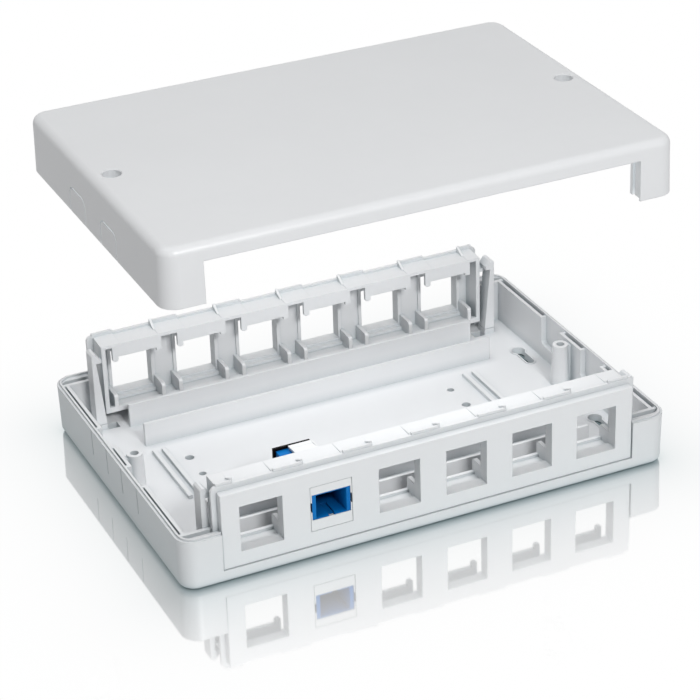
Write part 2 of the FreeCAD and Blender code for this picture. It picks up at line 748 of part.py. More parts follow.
def panel_case(prefix):
    """Shelf along the top, end walls, bottom plate, rail and end lugs."""
    trough_thk = 1.0
    rail_thk = 1.3
    lug_reach = 2.1
    lug_ys = (-50.8, -48.4)
    lug_zs = (dim.barb_low - 1.5, dim.barb_low - 0.2)
    full = (-dim.end_out, dim.end_out)
    wall_zs = (dim.rail_low, dim.shelf_top)
    solids = [
        box(prefix + "Shelf", full, behind_flange, (dim.shelf_low, dim.shelf_top)),
        box(prefix + "EndL", span(-1, dim.end_in, dim.end_out), behind_flange, wall_zs),
        box(prefix + "EndR", span(1, dim.end_in, dim.end_out), behind_flange, wall_zs),
        box(prefix + "Trough", full, behind_flange,
            (dim.rail_low, dim.rail_low + trough_thk)),
        box(prefix + "Rail", full, (bar_rear - rail_thk, bar_rear),
            (dim.rail_low, dim.rail_top))]
    # lugs the snap latches hold down
    for sx, side in SIDES:
        xs = span(sx, dim.end_out - LAP, dim.end_out + lug_reach)
        solids.append(box(prefix + "Lug" + side, xs, lug_ys, lug_zs))
    return solids


def port_surround(name, centre):
    """Jambs, sill, latch bar and cheeks of one port, behind the flange."""
    sill_drop = 2.1  # underside of the sill below the opening
    sill_zs = (dim.port_low - sill_drop, dim.port_low - 0.9)
    hook_wide, hook_drop, hook_rad = 2.1, 1.8, 0.8
    stub_wide, stub_drop = 2.0, 1.0
    cheek_rad = 1.1
    port_half = dim.port_wide / 2
    bar_join = dim.bar_low + LAP
    solids = []
    for sx, side in SIDES:
        xs = shifted(centre, span(sx, port_half, port_half + dim.jamb_thk))
        solids.append(box(name + "Jamb" + side, xs, (panel_in - LAP, -dim.side_back),
                          (dim.port_low - sill_drop, dim.shelf_low + LAP)))
    solids.append(box(name + "Sill", about(centre, port_half + dim.jamb_thk),
                      (panel_in - LAP, -dim.jamb_back), sill_zs))
    solids.append(box(name + "SillWeb", about(centre, port_half),
                      (panel_in - LAP, panel_in + 0.6),
                      (dim.rail_low + 0.8, dim.port_low - 1.4)))
    # latch bar under the shelf, with a hook at its +X end and a stub at the other
    left, right = about(centre, dim.bar_half)
    solids.append(box(name + "Bar", (left, right), bar_ys, (dim.bar_low, dim.shelf_low + LAP)))
    hook_low = dim.bar_low - hook_drop
    hook = box(name + "Hook", (right - hook_wide, right), bar_ys, (hook_low, bar_join))
    solids.append(fillet(
        name + "HookR", hook,
        lambda edge: along_y(edge) and abs(edge.BoundBox.ZMin - hook_low.value) < 0.05,
        hook_rad))
    solids.append(box(name + "Stub", (left, left + stub_wide), bar_ys,
                      (dim.bar_low - stub_drop, bar_join)))
    # cheeks beside the opening, each with its top rear corner rounded
    at_top = along_x_at(dim.cheek_top)
    for sx, side in SIDES:
        start = centre + sx * dim.cheek_x - dim.jamb_thk / 2
        plate = box(name + "Plate" + side, (start, start + dim.jamb_thk + LAP), behind_flange,
                    (dim.rail_low + 0.2, dim.cheek_top))
        solids.append(fillet(
            name + "Cheek" + side, plate,
            lambda edge: at_top(edge) and edge.BoundBox.YMin > bar_rear.value - 0.1,
            cheek_rad))
    return solids


def flange_pads(prefix):
    """Raised pads along the flange top; all but the last have a gusset at the +X end."""
    pad_left, pad_right = 6.1, 3.9  # reach of a pad either side of its pitch line
    end_inset = 1.9  # outermost pads stop short of the flange ends
    gusset_half = 0.45
    gusset_run = 4.0
    shelf_sunk = dim.shelf_top - 0.3
    solids = []
    for i in range(PORTS + 1):
        middle = (i - PORTS / 2) * dim.pitch
        name = prefix + "Pad" + str(i)
        first, last = i == 0, i == PORTS
        left = -dim.flange_half + end_inset if first else middle - pad_left
        right = dim.flange_half - end_inset if last else middle + pad_right
        solids.append(box(name + "Lip", (left, right), (-dim.flange_y + 0.25, panel_in),
                          (dim.flange_top - 0.3, dim.lip_top)))
        slope_xs = (-dim.end_out if first else left, dim.end_out if last else right)
        solids.append(wedge(name + "Slope", (panel_in - 0.1, bar_rear - 0.2),
                            slope_xs, (shelf_sunk, dim.shelf_top + 0.35),
                            slope_xs, (shelf_sunk, dim.shelf_top + 0.04)))
        if not last:
            xs = about(right, gusset_half)
            solids.append(wedge(name + "Gusset", (panel_in - 0.3, panel_in + gusset_run),
                                xs, (shelf_sunk, dim.lip_top + 0.6),
                                xs, (shelf_sunk, dim.shelf_top + 0.1)))
    return solids


def port_panel(prefix):
    solids = [panel_plate(prefix)] + panel_case(prefix)
    for i in range(PORTS):
        solids += port_surround(prefix + str(i), port_centre(i))
    return fuse(prefix + "Panel", solids + flange_pads(prefix))


piece(port_panel("Front"), "front_port_panel")
rear_panel = piece(port_panel("Rear"), "rear_port_panel")
rear_panel.Placement = FreeCAD.Placement(Vec(0, 0, 0), FreeCAD.Rotation(Vec(0, 0, 1), 180))


# ---------------------------------------------------------------- panel latches
def panel_latch(sx, sy, tag):
    """Tapered arm with a barb at the top, pointing to the middle of the box."""
    body = doc.addObject("PartDesign::Body", "Latch" + tag)
    rear_face = sy * latch_centre(sy) + dim.latch_wide / 2
    sketch = sketch_on(body, "XZ_Plane", "LatchProfile" + tag, -rear_face)
    top_chamfer = 0.7
    # distance from the centre plane, height
    profile = (
        (dim.latch_out, dim.latch_low),
        (dim.latch_out, dim.latch_top - top_chamfer),
        (dim.latch_out - top_chamfer, dim.latch_top),
        (dim.barb_in + 1.6, dim.latch_top - 0.2),
        (dim.barb_in, dim.barb_low + 1.3),
        (dim.barb_in, dim.barb_low),
        (dim.latch_tip, dim.barb_low),
        (dim.latch_root, dim.latch_low),
    )
    polygon(sketch, [(x if sx > 0 else -x, z) for x, z in profile])
    pad(body, sketch, "LatchArm" + tag, dim.latch_wide)
    return body


for sx, side in ((-1, "left"), (1, "right")):
    for sy, end in ((-1, "front"), (1, "rear")):
        piece(panel_latch(sx, sy, end + side), "panel_latch_%s_%s" % (end, side))


# ---------------------------------------------------------------- cover screws
def cover_screw(side):
    """Pan head with a cross recess over a plain shank with a tapered tip."""
    tip_taper, tip_high = 0.9, 1.4
    head_taper = 0.9
    cutter_over = 0.1  # slot cutters start this far above the head
    slot_cut = 1.3
    body = doc.addObject("PartDesign::Body", "Screw" + side)
    sketch = sketch_on(body, "XZ_Plane", "ScrewSection" + side)
    # half section: radius, height above the seat
    polygon(sketch, (
        (0, -dim.screw_long),
        (dim.screw_rad - tip_taper, -dim.screw_long),
        (dim.screw_rad, -dim.screw_long + tip_high),
        (dim.screw_rad, 0),
        (dim.screw_head, 0),
        (dim.screw_head, dim.head_rim),
        (dim.screw_head - head_taper, dim.head_high),
        (0, dim.head_high),
    ))
    turned = body.newObject("PartDesign::Revolution", "ScrewBody" + side)
    turned.Profile = sketch
    turned.ReferenceAxis = (origin_feature(body, "Z_Axis"), [""])
    turned.Angle = 360
    doc.recompute()
    along = (-dim.cross_half, dim.cross_half)
    across = (-dim.cross_thk / 2, dim.cross_thk / 2)
    for arm, xs, ys in (("A", along, across), ("B", across, along)):
        sketch = sketch_on(body, "XY_Plane", "Cross" + arm + side, dim.head_high + cutter_over)
        rectangle(sketch, xs, ys)
        pocket(body, sketch, "Slot" + arm + side, slot_cut)
    return body


for sx, side in ((-1, "left"), (1, "right")):
    screw = piece(cover_screw(side), "cover_screw_" + side)
    place(screw, sx * dim.post_x, 0, dim.seat_z + dim.cover_lift)


# ---------------------------------------------------------------- keystone insert
# Widths of the insert and the adapter are measured from the centre of their port.
port_x = dim.insert_x
insert_half = dim.port_wide / 2 - dim.insert_gap
insert_low = dim.port_low + dim.insert_gap
insert_top = insert_low + dim.port_high - 2 * dim.insert_gap
sc_half = dim.sc_wide / 2
sc_top = dim.sc_low + dim.sc_high
seat_half = sc_half + dim.seat_gap
seat_low = dim.sc_low - dim.seat_gap
seat_top = sc_top + dim.seat_gap


def from_port(left, right):
    return shifted(port_x, (left, right))


def beside_port(sign, near, far):
    return shifted(port_x, span(sign, near, far))


def above_base(low, high):
    """Heights above the adapter's underside."""
    return shifted(dim.sc_low, (low, high))


def keystone_holder():
    """Front block round the adapter and the cradle that carries it behind the panel."""
    body = doc.addObject("PartDesign::Body", "HolderBlock")
    sketch = sketch_on(body, "XZ_Plane", "HolderOutline", dim.insert_back)
    rectangle(sketch, about(port_x, insert_half), (insert_low, insert_top))
    pad(body, sketch, "HolderPad", dim.face_y - 0.05 - dim.insert_back)
    sketch = sketch_on(body, "XZ_Plane", "HolderWindow", dim.face_y + PAST)
    rectangle(sketch, about(port_x, seat_half), (seat_low, seat_top))
    pocket(body, sketch, "HolderPocket", dim.face_y - dim.insert_back + 2 * PAST)

    block_rear = -dim.insert_back
    # relief for the spring clip tabs on both sides of the adapter, open at the front
    cutters = [box("TabRelief" + side, beside_port(sx, seat_half - 0.1, seat_half + 0.5),
                   (-dim.face_y - PAST, block_rear + PAST), above_base(2.9, 6.5))
               for sx, side in SIDES]
    # thin the top of the block behind the sill's back edge
    cutters.append(box("HolderTopCut", about(port_x, insert_half + PAST),
                       (-dim.jamb_back + 0.4, block_rear + PAST),
                       (seat_top + 0.6, insert_top + PAST)))

    # cradle: floor, right side, roof at the rear and a lip over the left side
    cradle_front = block_rear - LAP
    cradle_rear = -dim.sc_back - 1.0
    cradle_low = dim.sc_low - 1.5
    roof_front = -31.3
    lip_ys = (cradle_front, -34.9)
    solids = [
        body,
        box("CradleFloor", about(port_x, insert_half), (cradle_front, cradle_rear),
            (cradle_low, seat_low)),
        box("CradleSideR", from_port(seat_half, insert_half), (cradle_front, cradle_rear),
            (cradle_low, seat_top + 1.0)),
        box("CradleRoof", from_port(-1.4, insert_half), (roof_front, cradle_rear),
            (seat_top, seat_top + 0.9)),
        box("CradleLip", from_port(-insert_half, -1.6), lip_ys, (seat_top, seat_top + 0.5)),
        box("CradleLipSide", from_port(-insert_half, -seat_half), lip_ys,
            (dim.sc_low + 7.0, seat_top + 0.2)),
        # lower tooth behind the sill
        box("Tooth", about(port_x, 4), (-dim.jamb_back + 0.25, -dim.jamb_back + 2.1),
            (dim.port_low - 1.9, insert_low + 0.3))]
    return cut("KeystoneHolder", fuse("HolderSolid", solids), fuse("HolderCuts", cutters))


def keystone_latch():
    """A tongue rooted at the back that rises to a hook in front of the latch bar."""
    front, root = -53.2, -31.45
    hook_rear = -50.0
    tongue_xs = from_port(-1.4, 6.2)
    bar = dim.bar_low
    arm = wedge("LeverArm", (front, root), tongue_xs, (bar - 2.0, bar - 1.1),
                from_port(-1.4, 6.6), (seat_top + 0.1, seat_top + 0.95))
    hook = wedge("LeverHook", (front, hook_rear), tongue_xs, (bar - 1.6, bar - 0.4),
                 tongue_xs, (bar - 1.8, bar + 1.2))
    return fuse("KeystoneLatch", [arm, hook])


piece(keystone_holder(), "keystone_holder")
piece(keystone_latch(), "keystone_latch")

# ---------------------------------------------------------------- SC adapter
sc_joint = -dim.sc_mid
sc_face = -dim.sc_front
sc_rear = -dim.sc_back
sc_centre = dim.sc_low + dim.sc_high / 2
plug_xs = about(port_x, dim.sc_in_wide / 2)
plug_zs = about(sc_centre, dim.sc_in_high / 2)

# spring clip; y spans are absolute, heights are above the adapter's underside
RISER_HALF = 1.6
RISER_TOP = 3.0
LEAF_LOW, LEAF_TOP = 2.8, 6.6
CLIP_CLEAR = 0.1  # clearance of the seats cut for the clip

# keyway under the plug opening
KEY_HALF = 1.1
KEY_DEEP = 7.0
KEY_LOW, KEY_TOP = 0.25, 1.5


def adapter_half(prefix, near, far):
    """A hollow half of the adapter between two distances in -Y."""
    body = doc.addObject("PartDesign::Body", prefix + "Body")
    sketch = sketch_on(body, "XZ_Plane", prefix + "Outline", near)
    rectangle(sketch, about(port_x, sc_half), (dim.sc_low, sc_top))
    block = pad(body, sketch, prefix + "Block", far - near)
    edge_fillet(body, block, prefix + "Round", lambda edge: runs_along(edge, "y", 5), dim.sc_rad)
    sketch = sketch_on(body, "XZ_Plane", prefix + "Window", dim.sc_front + PAST)
    rectangle(sketch, plug_xs, plug_zs)
    pocket(body, sketch, prefix + "Bore", dim.sc_front - dim.sc_back + 2 * PAST)
    return body


def clip_seats(leaf_name, end, leaf_ys):
    """Cutters that let the spring clip into both sides and the underside."""
    seat_deep = 0.55
    bridge_deep = 0.45
    riser_ys = about(sc_joint, RISER_HALF + CLIP_CLEAR)
    cutters = []
    for sx, side in SIDES:
        xs = beside_port(sx, sc_half - seat_deep, sc_half + PAST)
        cutters.append(box(leaf_name + side, xs, leaf_ys,
                           above_base(LEAF_LOW - CLIP_CLEAR, LEAF_TOP + CLIP_CLEAR)))
        cutters.append(box("RiserSeat" + end + side, xs, riser_ys,
                           above_base(-PAST, RISER_TOP)))
    cutters.append(box("BridgeSeat" + end, about(port_x, sc_half + PAST), riser_ys,
                       above_base(-PAST, bridge_deep)))
    return cutters


def adapter_front():
    body = adapter_half("ScFront", dim.sc_mid, dim.sc_front)
    notch_half, notch_deep = 0.9, 0.9
    lead_wide, lead_deep, lead_wall = 0.55, 1.3, 0.35
    cutters = [
        box("KeyWay", about(port_x, KEY_HALF), (sc_face - PAST, sc_face + KEY_DEEP),
            above_base(KEY_LOW, KEY_TOP)),
        box("KeyNotch", about(port_x, notch_half), (sc_face - PAST, sc_face + notch_deep),
            above_base(-PAST, KEY_TOP)),
        wedge("LeadIn", (sc_face - 0.01, sc_face + lead_deep),
              about(port_x, dim.sc_in_wide / 2 + lead_wide),
              (dim.sc_low + lead_wall, sc_top - lead_wall), plug_xs, plug_zs)]
    cutters += clip_seats("ClipSeat", "F", (-50.0, sc_joint + PAST))
    return cut("AdapterFront", body, fuse("ScFrontCuts", cutters))


def adapter_rear():
    body = adapter_half("ScRear", dim.sc_back, dim.sc_mid)
    step_half, step_front = 5.75, -34.6
    cutters = [box("KeyWayB", about(port_x, KEY_HALF), (sc_rear - KEY_DEEP, sc_rear + PAST),
                   above_base(KEY_LOW, KEY_TOP))]
    cutters += clip_seats("ClipSeatB", "B", (sc_joint - PAST, -36.0))
    # the sides step in towards the rear opening, where the collar sits
    for sx, side in SIDES:
        cutters.append(box("RearStep" + side, beside_port(sx, step_half, sc_half + PAST),
                           (step_front, sc_rear + PAST), (dim.sc_low - PAST, sc_top + PAST)))
    return cut("AdapterRear", body, fuse("ScRearCuts", cutters))


def rear_collar():
    """Collar round the rear opening."""
    outer_half, inner_half = 6.65, 5.79
    collar_long = 0.96
    inner_gap = 0.04
    outer = box("CollarOut", about(port_x, outer_half), (sc_rear - collar_long, sc_rear),
                (dim.sc_low - 0.9, sc_top + 0.95))
    inner = box("CollarIn", about(port_x, inner_half), (sc_rear - 3 * PAST, sc_rear + PAST),
                (dim.sc_low - inner_gap, sc_top + inner_gap))
    return cut("RearCollar", outer, inner)


def spring_clip():
    """Two side leaves joined by a bridge that lies in a groove under the adapter."""
    sunk = 0.12  # leaves lie this far inside the adapter's sides
    leaf_thk = 0.35
    bridge_low, bridge_top = 0.06, 0.40
    leaf_ys = (-49.6, -36.4)
    tab_ys = (-49.3, -48.9)
    riser_ys = about(sc_joint, RISER_HALF)
    parts = [box("Bridge", about(port_x, sc_half - sunk), riser_ys,
                 above_base(bridge_low, bridge_top))]
    for sx, side in SIDES:
        xs = beside_port(sx, sc_half - sunk - leaf_thk, sc_half - sunk)
        parts.append(box("Leaf" + side, xs, leaf_ys, above_base(LEAF_LOW, LEAF_TOP)))
        parts.append(box("Riser" + side, xs, riser_ys, above_base(bridge_low, RISER_TOP)))
    for sx, side in SIDES:
        parts.append(box("Tab" + side, beside_port(sx, sc_half - 0.3, sc_half + 0.42),
                         tab_ys, above_base(3.1, 6.3)))
    return fuse("SpringClip", parts)


def connector_clip(prefix, sign):
    """Flange plate, two hooks and the sleeve barrel; sign -1 opens to the front."""
    plate_gap = 0.05
    joint_gap = 0.05
    barrel_rad = 2.3
    arm_in, arm_out, arm_half_high = 3.45, 4.35, 1.3
    tip_in = 2.75
    arm_end = 8.6

    def from_joint(near, far):
        return shifted(sc_joint, span(sign, near, far))

    parts = [
        box(prefix + "Plate", about(port_x, dim.sc_in_wide / 2 - plate_gap),
            from_joint(joint_gap, 1.25), about(sc_centre, dim.sc_in_high / 2 - plate_gap)),
        cylinder_y(prefix + "Barrel", port_x, sc_centre, from_joint(joint_gap, 6.6),
                   barrel_rad)]
    arm_zs = about(sc_centre, arm_half_high)
    for sx, side in SIDES:
        parts.append(box(prefix + "Arm" + side, beside_port(sx, arm_in, arm_out),
                         from_joint(1.0, arm_end), arm_zs))
        parts.append(box(prefix + "Tip" + side, beside_port(sx, tip_in, arm_out),
                         from_joint(7.2, arm_end), arm_zs))
    solid = fuse(prefix + "Solid", parts)
    seat = cylinder_y(prefix + "SleeveSeat", port_x, sc_centre,
                      from_joint(-PAST, dim.sleeve_half + joint_gap), dim.sleeve_out + 0.05)
    mouth = cylinder_y(prefix + "Mouth", port_x, sc_centre, from_joint(5, 8),
                       dim.sleeve_in + 0.12)
    return cut(prefix + "Clip", solid, fuse(prefix + "Bores", [seat, mouth]))


def alignment_sleeve():
    """Sleeve across the joint, slit along its top."""
    slit_half = 0.15
    through = about(sc_joint, dim.sleeve_half + PAST)
    outer = cylinder_y("SleeveOut", port_x, sc_centre, about(sc_joint, dim.sleeve_half),
                       dim.sleeve_out)
    bore = cylinder_y("SleeveIn", port_x, sc_centre, through, dim.sleeve_in)
    slit = box("SleeveSlit", about(port_x, slit_half), through,
               (sc_centre, sc_centre + 3 * PAST))
    return cut("Sleeve", outer, fuse("SleeveCuts", [bore, slit]))


piece(adapter_front(), "adapter_shell_front")
piece(adapter_rear(), "adapter_shell_rear")
piece(rear_collar(), "adapter_rear_collar")
piece(spring_clip(), "adapter_spring_clip")
piece(connector_clip("ClipFront", -1), "connector_clip_front")
piece(connector_clip("ClipRear", 1), "connector_clip_rear")
piece(alignment_sleeve(), "alignment_sleeve")

# ---------------------------------------------------------------- checks and export
doc.recompute()
faults = []
for obj in doc.Objects:
    if any(word in obj.State for word in ("Invalid", "Error")):
        faults.append("%s: %s" % (obj.Name, obj.State))
for obj in PIECES:
    shape = obj.Shape
    if shape.isNull() or not shape.isValid() or not shape.Solids or shape.Volume <= 0:
        faults.append("%s: null or invalid shape" % obj.Label)
if faults:
    raise RuntimeError("; ".join(faults))
os.makedirs("parts", exist_ok=True)
for obj in PIECES:
    obj.Shape.exportStep("parts/%s.step" % obj.Label)
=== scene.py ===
"""Look and studio for a small wall box: a base tray holding a keystone holder and a
coupling adapter, with its top cover held above it.

Metres, +Z up. The tray is centred on the origin and stands on the floor at Z = 0,
with its long side along X and its front towards -Y. Names ending in _MM are millimetres.
"""
import math

import bmesh
import bpy
from mathutils import Matrix, Vector


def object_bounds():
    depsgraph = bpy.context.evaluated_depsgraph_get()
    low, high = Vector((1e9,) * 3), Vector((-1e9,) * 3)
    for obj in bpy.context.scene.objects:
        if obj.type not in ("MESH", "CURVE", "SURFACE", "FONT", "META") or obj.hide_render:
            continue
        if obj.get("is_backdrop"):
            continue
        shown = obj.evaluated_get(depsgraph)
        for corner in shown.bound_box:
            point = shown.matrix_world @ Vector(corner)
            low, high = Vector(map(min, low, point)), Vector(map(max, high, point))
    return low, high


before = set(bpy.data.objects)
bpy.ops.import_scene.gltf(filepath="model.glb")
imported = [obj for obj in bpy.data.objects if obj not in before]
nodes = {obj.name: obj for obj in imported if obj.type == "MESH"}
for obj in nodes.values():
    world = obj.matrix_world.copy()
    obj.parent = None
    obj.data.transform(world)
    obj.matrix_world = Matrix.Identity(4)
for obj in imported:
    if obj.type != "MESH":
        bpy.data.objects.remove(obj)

CAD_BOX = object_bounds()
MM = 0.001
scene = bpy.context.scene


def plain(box):
    if hasattr(box, "items"):
        return {key: plain(value) for key, value in box.items()}
    if isinstance(box, (list, tuple, Vector)):
        return [plain(value) for value in box]
    return float(box)


# ------------------------------------------------------------------ node helpers
def add(tree, kind, inputs=None, **settings):
    """New shader node. Each input is given as a value or as a socket to link from."""
    node = tree.nodes.new("ShaderNode" + kind)
    for name, value in settings.items():
        setattr(node, name, value)
    for key, value in (inputs or {}).items():
        if isinstance(value, bpy.types.NodeSocket):
            tree.links.new(value, node.inputs[key])
        else:
            node.inputs[key].default_value = value
    return node


def new_material(name):
    material = bpy.data.materials.new(name)
    material.use_nodes = True
    material.node_tree.nodes.clear()
    return material, material.node_tree


def calc(tree, operation, a, b=0.0, clamp=False):
    return add(tree, "Math", {0: a, 1: b}, operation=operation, use_clamp=clamp).outputs[0]


def noise(tree, vector, scale, detail, rough):
    inputs = {"Vector": vector, "Scale": scale, "Detail": detail, "Roughness": rough}
    return add(tree, "TexNoise", inputs).outputs["Fac"]


def ramp(tree, factor, low, high):
    """Two-stop colour ramp; low and high are (position, rgb)."""
    node = add(tree, "ValToRGB", {"Fac": factor})
    for element, (position, rgb) in zip(node.color_ramp.elements, (low, high)):
        element.position = position
        element.color = (*rgb, 1)
    return node.outputs["Color"]


def mix_shaders(tree, factor, first, second):
    inputs = {"Fac": factor, 1: first, 2: second}
    return add(tree, "MixShader", inputs).outputs["Shader"]


def world_position(tree):
    """The shaded point's X, Y and Z outputs."""
    position = add(tree, "NewGeometry").outputs["Position"]
    return add(tree, "SeparateXYZ", {"Vector": position}).outputs


# ------------------------------------------------------------------ plastics and metals
def ghost(tree, shader, height):
    """Above this height a piece casts no shadow and stays out of the floor's mirror, so a
    cover held up doesn't darken the tray. Lowered onto the tray it does both."""
    position = world_position(tree)
    ray = add(tree, "LightPath").outputs
    hidden_ray = calc(tree, "MAXIMUM", ray["Is Shadow Ray"], ray["Is Glossy Ray"])
    high = calc(tree, "GREATER_THAN", position["Z"], height)
    clear = add(tree, "BsdfTransparent").outputs["BSDF"]
    return mix_shaders(tree, calc(tree, "MULTIPLY", hidden_ray, high), shader, clear)


def plastic(name, base, light, rough, grain, edge_mm, clouds, coat=0.0, spec=0.5,
            shade=(0.64, 0.69, 0.71), reach_mm=4.0, curve=1.1, ghost_above=None):
    """Moulded plastic: a faint cloudy colour with painted shade that darkens it in narrow
    places, fine spark-erosion grain, and edges that are rounded a little in the shading.

    base, light   the two colours the clouds run between; clouds widens their range
    grain         bump strength
    edge_mm       radius of the shaded edges
    shade         what base is multiplied by for the painted shade in narrow places
    reach_mm      how wide a place counts as narrow for the painted shade; curve is the falloff's power
    ghost_above   height above which the piece is a ghost
    """
    material, tree = new_material(name)
    place = add(tree, "TexCoord").outputs["Object"]
    big = noise(tree, place, scale=26.0, detail=3.0, rough=0.55)
    mid = noise(tree, place, scale=240.0, detail=4.0, rough=0.6)
    fine = noise(tree, place, scale=2600.0, detail=2.0, rough=0.5)

    # colour: clouds, times faint specks, darkened by painted shade (ambient occlusion) in
    # narrow places
    cloud_low = tuple(max(0.0, c - clouds) for c in base)
    cloud_high = tuple(min(1.0, c + clouds) for c in light)
    cloudy = ramp(tree, big, low=(0.32, cloud_low), high=(0.68, cloud_high))
    speck = ramp(tree, mid, low=(0.30, (0.992, 0.992, 0.993)), high=(0.62, (1, 1, 1)))
    speckled = add(tree, "MixRGB", {"Fac": 1.0, "Color1": cloudy, "Color2": speck},
                   blend_type="MULTIPLY")
    # painted shade: ambient occlusion darkens the colour in corners and crevices, where shade
    # falls
    occlusion = add(tree, "AmbientOcclusion", {"Distance": reach_mm * MM}, samples=8)
    painted_crevice_shade = add(tree, "MixRGB", {
        "Fac": calc(tree, "POWER", occlusion.outputs["AO"], curve, clamp=True),
        "Color1": (*(c * k for c, k in zip(base, shade)), 1),
        "Color2": speckled.outputs["Color"],
    })

    # roughness varies a little with both coarser noises
    roughness = calc(tree, "ADD", calc(tree, "MULTIPLY", mid, 0.10), rough - 0.05)
    roughness = calc(tree, "ADD", roughness, calc(tree, "MULTIPLY", big, 0.06))

    bevel = add(tree, "Bevel", {"Radius": edge_mm * MM}, samples=4)
    height = calc(tree, "ADD", calc(tree, "MULTIPLY", fine, 0.6),
                  calc(tree, "MULTIPLY", mid, 0.4))
    bump = add(tree, "Bump", {"Strength": grain, "Distance": 0.00004, "Height": height,
                              "Normal": bevel.outputs["Normal"]})
    shader = add(tree, "BsdfPrincipled", {
        "Base Color": painted_crevice_shade.outputs["Color"],
        "Roughness": roughness,
        "Normal": bump.outputs["Normal"],
        "Specular IOR Level": spec,
        "Coat Weight": coat,
        "Coat Roughness": 0.12,
    }).outputs["BSDF"]
    if ghost_above is not None:
        shader = ghost(tree, shader, ghost_above)
    add(tree, "OutputMaterial", {"Surface": shader})
    return material


def metal(name, base, rough):
    """Rolled or plated metal with fine drawn streaks."""
    material, tree = new_material(name)
    place = add(tree, "TexCoord").outputs["Object"]
    # noise squeezed along Z makes the streaks
    squeezed = add(tree, "Mapping", {"Scale": (1, 1, 12), "Vector": place}).outputs["Vector"]
    streaks = noise(tree, squeezed, scale=900.0, detail=4.0, rough=0.6)
    dark = tuple(c * 0.82 for c in base)
    colour = ramp(tree, streaks, low=(0.3, dark), high=(0.7, base))
    roughness = calc(tree, "ADD", calc(tree, "MULTIPLY", streaks, 0.18), rough)
    bump = add(tree, "Bump", {"Strength": 0.15, "Distance": 0.00003, "Height": streaks})
    shader = add(tree, "BsdfPrincipled", {
        "Metallic": 1.0,
        "Base Color": colour,
        "Roughness": roughness,
        "Normal": bump.outputs["Normal"],
    })
    add(tree, "OutputMaterial", {"Surface": shader.outputs["BSDF"]})
    return material


GHOST_HEIGHT = 0.060  # between the tray and the raised cover
SHELL = dict(base=(0.735, 0.745, 0.757), light=(0.742, 0.752, 0.764),
             rough=0.34, grain=0.10, edge_mm=0.35, clouds=0.004)

housing = plastic("housing_plastic", **SHELL)
cover = plastic("cover_plastic", **SHELL, ghost_above=GHOST_HEIGHT)
panel = plastic("panel_plastic", base=(0.765, 0.775, 0.786), light=(0.772, 0.782, 0.793),
                rough=0.36, grain=0.08, edge_mm=0.22, clouds=0.003)
insert = plastic("insert_plastic", base=(0.775, 0.783, 0.790), light=(0.785, 0.792, 0.798),
                 rough=0.32, grain=0.06, edge_mm=0.15, clouds=0.003)
# shade and reach_mm give the adapter and clip a deeper painted shade in their cavities
blue = plastic("adapter_blue", base=(0.0012, 0.150, 0.46), light=(0.003, 0.175, 0.52),
               rough=0.34, grain=0.06, edge_mm=0.10, clouds=0.002, spec=0.12,
               shade=(0.3, 0.13, 0.20), reach_mm=8.0, curve=1.3)
navy = plastic("clip_blue", base=(0.010, 0.040, 0.15), light=(0.014, 0.05, 0.18),
               rough=0.36, grain=0.06, edge_mm=0.10, clouds=0.002, spec=0.15,
               shade=(0.4, 0.4, 0.4))
black = plastic("collar_black", base=(0.004, 0.003, 0.003), light=(0.007, 0.005, 0.004),
                rough=0.45, grain=0.05, edge_mm=0.08, clouds=0.001, spec=0.06)
steel = metal("spring_steel", base=(0.42, 0.42, 0.43), rough=0.26)
zinc = metal("screw_zinc", base=(0.66, 0.66, 0.67), rough=0.22)
ceramic = plastic("ceramic_white", base=(0.86, 0.86, 0.82), light=(0.90, 0.90, 0.87),
                  rough=0.12, grain=0.02, edge_mm=0.06, clouds=0.004, coat=0.3)

# ------------------------------------------------------------------ dressing the pieces
MATERIAL = {
    "base_tray": housing,
    "top_cover": cover,
    "front_port_panel": panel,
    "rear_port_panel": panel,
    "panel_latch_front_left": housing,
    "panel_latch_front_right": housing,
    "panel_latch_rear_left": housing,
    "panel_latch_rear_right": housing,
    "cover_screw_left": zinc,
    "cover_screw_right": zinc,
    "keystone_holder": insert,
    "keystone_latch": insert,
    "adapter_shell_front": blue,
    "adapter_shell_rear": blue,
    "adapter_rear_collar": black,
    "adapter_spring_clip": steel,
    "connector_clip_front": navy,
    "connector_clip_rear": navy,
    "alignment_sleeve": ceramic,
}
SPLIT_DEGREES = 32        # steeper edges than this stay sharp
PANEL_SPLIT_DEGREES = 17  # the same for port panels and their latches
WELD_DISTANCE = 0.000002


def dress(obj, material, split_degrees):
    """Material on the node, and smooth shading that breaks at its real edges."""
    mesh = obj.data
    mesh.materials.clear()
    mesh.materials.append(material)
    if "custom_normal" in mesh.attributes:
        mesh.attributes.remove(mesh.attributes["custom_normal"])
    mesh.polygons.foreach_set("use_smooth", [True] * len(mesh.polygons))
    mesh.update()
    weld = obj.modifiers.new("weld", "WELD")
    weld.merge_threshold = WELD_DISTANCE
    edges = obj.modifiers.new("edges", "EDGE_SPLIT")
    edges.split_angle = math.radians(split_degrees)
    edges.use_edge_angle = True
    edges.use_edge_sharp = False


for name, obj in nodes.items():
    dress(obj, MATERIAL[name], PANEL_SPLIT_DEGREES if "panel" in name else SPLIT_DEGREES)
# the screws leave no shadow or reflection
for name in ("cover_screw_left", "cover_screw_right"):
    nodes[name].visible_glossy = False
    nodes[name].visible_shadow = False

# ------------------------------------------------------------------ floor
FLOOR_Z = -0.0002
FLOOR_HALF = 6.0
# the object's foot: a rectangle grown by a radius, which rounds its corners
FOOT_HALF_X = 0.0822
FOOT_HALF_Y = 0.0547
FOOT_RADIUS = 0.0042
# painted shadow around the foot: (depth at the foot, length over which it decays)
CONTACT_SHADOW = (0.60, 0.0014)  # tight line, seen by the camera
SOFT_SHADOW = (0.33, 0.013)      # soft surround, seen by the camera
BOUNCE_SHADOW = (0.85, 0.100)    # less light bounced back near the object
EULER = 2.718282
MIRROR = 0.74             # mirror strength at the foot
MIRROR_LENGTH = 0.098     # distance at which the mirror has faded out


